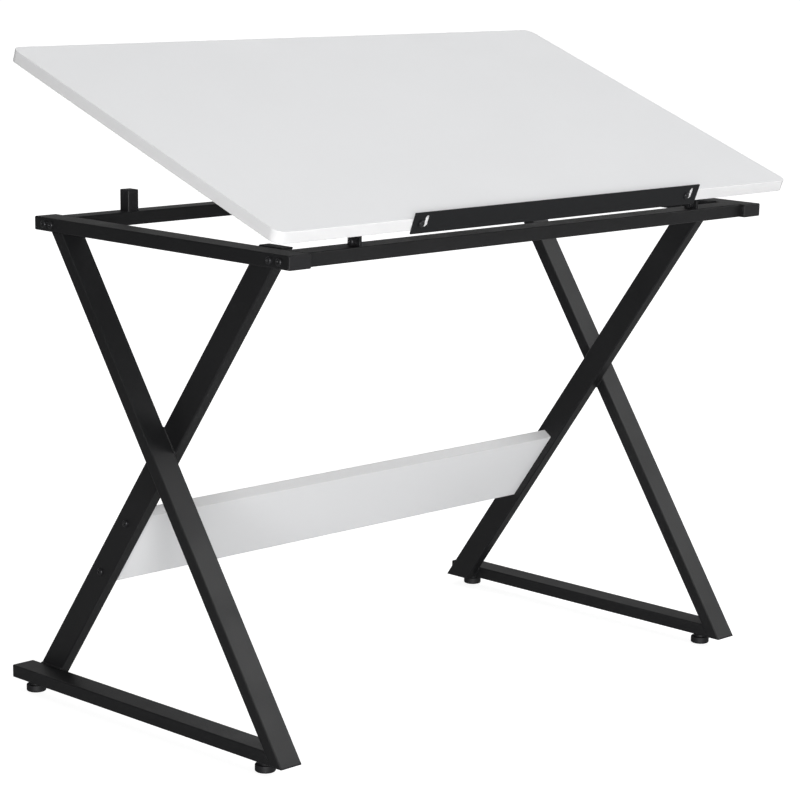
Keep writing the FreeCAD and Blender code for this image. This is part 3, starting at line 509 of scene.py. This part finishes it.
# ---- Stage ----
BACKDROP = 1.05               # brightness of everything around the table, seen by the camera only
FLOOR_SIZE = 30.0
FLOOR_GLOW = 0.86             # of the floor under the table, seen by the camera only
FLOOR_NEAR = 1.0              # distances from the table over which the floor fades into the backdrop
FLOOR_FAR = 4.0
ROOM_DARK = 0.06              # light of the room from the left and from the right
ROOM_BRIGHT = 0.62
BRIGHT_SIDE = (0.95, -0.3, 0.0)
CAMERA_PLACE = (-2.882, -2.8465, 1.2105)
CAMERA_YAW = -46.594          # degrees
CAMERA_ELEVATION = 14.307
CAMERA_ROLL = 1.256
CAMERA_LENS = 118.86
CAMERA_SHIFT = (-0.0645, 0.2030)


def make_floor():
    """Plain pale floor.  To the camera it fades into the white backdrop away from the table."""
    half = FLOOR_SIZE / 2
    mesh = bpy.data.meshes.new("floor")
    mesh.from_pydata([(-half, -half, 0), (half, -half, 0), (half, half, 0), (-half, half, 0)],
                     [], [(0, 1, 2, 3)])
    floor = bpy.data.objects.new("floor", mesh)
    bpy.context.scene.collection.objects.link(floor)
    s = Shader("floor")
    colour = s.blend(s.noise(0.4), (0.50, 0.50, 0.50), (0.52, 0.52, 0.52))
    away = s.add("ShaderNodeVectorMath", operation="LENGTH")
    s.feed(away.inputs[0], s.place)
    glow = s.remap(away.outputs["Value"], FLOOR_NEAR, FLOOR_FAR, FLOOR_GLOW, BACKDROP)
    seen = s.add("ShaderNodeLightPath").outputs["Is Camera Ray"]
    s.surface.inputs["Emission Color"].default_value = (1, 1, 1, 1)
    s.feed(s.surface.inputs["Emission Strength"], s.math("MULTIPLY", glow, seen))
    mesh.materials.append(s.done(colour, 0.9, s.bump(s.noise(4 * MM), 0.02 * MM), specular=0.1))


def make_world():
    """White backdrop for the camera; for everything else a dim room, brightest at the right."""
    world = bpy.data.worlds.new("studio")
    bpy.context.scene.world = world
    world.use_nodes = True
    nodes, links = world.node_tree.nodes, world.node_tree.links
    backdrop = nodes["Background"]
    backdrop.inputs["Color"].default_value = (1, 1, 1, 1)
    backdrop.inputs["Strength"].default_value = BACKDROP
    light = nodes.new("ShaderNodeBackground")
    place = nodes.new("ShaderNodeTexCoord")
    facing = nodes.new("ShaderNodeVectorMath")
    facing.operation = "DOT_PRODUCT"
    facing.inputs[1].default_value = BRIGHT_SIDE
    shade = nodes.new("ShaderNodeMapRange")
    path = nodes.new("ShaderNodeLightPath")
    choose = nodes.new("ShaderNodeMixShader")
    links.new(place.outputs["Generated"], facing.inputs[0])
    links.new(facing.outputs["Value"], shade.inputs["Value"])
    shade.inputs["From Min"].default_value = -0.3
    shade.inputs["From Max"].default_value = 1.0
    shade.inputs["To Min"].default_value = ROOM_DARK
    shade.inputs["To Max"].default_value = ROOM_BRIGHT
    links.new(shade.outputs["Result"], light.inputs["Strength"])
    links.new(path.outputs["Is Camera Ray"], choose.inputs["Fac"])
    links.new(light.outputs["Background"], choose.inputs[1])
    links.new(backdrop.outputs["Background"], choose.inputs[2])
    links.new(choose.outputs["Shader"], nodes["World Output"].inputs["Surface"])


def softbox(name, place, target, width, height, power):
    """Rectangular area light aimed at a point."""
    data = bpy.data.lights.new(name, "AREA")
    data.shape = "RECTANGLE"
    data.size = width
    data.size_y = height
    data.energy = power
    light = bpy.data.objects.new(name, data)
    bpy.context.scene.collection.objects.link(light)
    light.location = place
    light.rotation_euler = (Vector(target) - Vector(place)).to_track_quat("-Z", "Y").to_euler()


def make_lights():
    """Overhead softbox, high key at front right, fill beside the camera and a weak rear fill."""
    softbox("overhead", (0.3, 0.2, 3.4), (0, 0, 0.5), 3.2, 3.2, 29)
    softbox("high_key", (3.0, -3.0, 3.2), (0, 0, 0.4), 3.4, 3.0, 95)
    softbox("camera_fill", (-4.6, -5.2, 1.0), (0, 0, 0.3), 4.0, 1.7, 520)
    softbox("rear_fill", (0.3, 4.8, 1.4), (0, 0, 0.5), 3.0, 2.0, 25)


def make_camera():
    """Camera at the left front, a little above the top, looking down at the table."""
    yaw = math.radians(CAMERA_YAW)
    elevation = math.radians(CAMERA_ELEVATION)
    roll = math.radians(CAMERA_ROLL)
    back = Vector((math.sin(yaw) * math.cos(elevation), -math.cos(yaw) * math.cos(elevation),
                   math.sin(elevation)))
    right = Vector((math.cos(yaw), math.sin(yaw), 0))
    up = back.cross(right)
    rolled_right = right * math.cos(roll) + up * math.sin(roll)
    rolled_up = up * math.cos(roll) - right * math.sin(roll)
    data = bpy.data.cameras.new("camera")
    data.lens = CAMERA_LENS
    data.shift_x = CAMERA_SHIFT[0]
    data.shift_y = CAMERA_SHIFT[1]
    camera = bpy.data.objects.new("camera", data)
    bpy.context.scene.collection.objects.link(camera)
    turn = Matrix((rolled_right, rolled_up, back)).transposed()
    camera.matrix_world = Matrix.Translation(CAMERA_PLACE) @ turn.to_4x4()
    bpy.context.scene.camera = camera


# ---- Build the scene ----
dress_cad()
side_frame_welds("left")
side_frame_welds("right")
crossbar_welds()
foot_stem_threads()
make_floor()
make_world()
make_lights()
make_camera()
bpy.context.scene.view_settings.view_transform = "Standard"
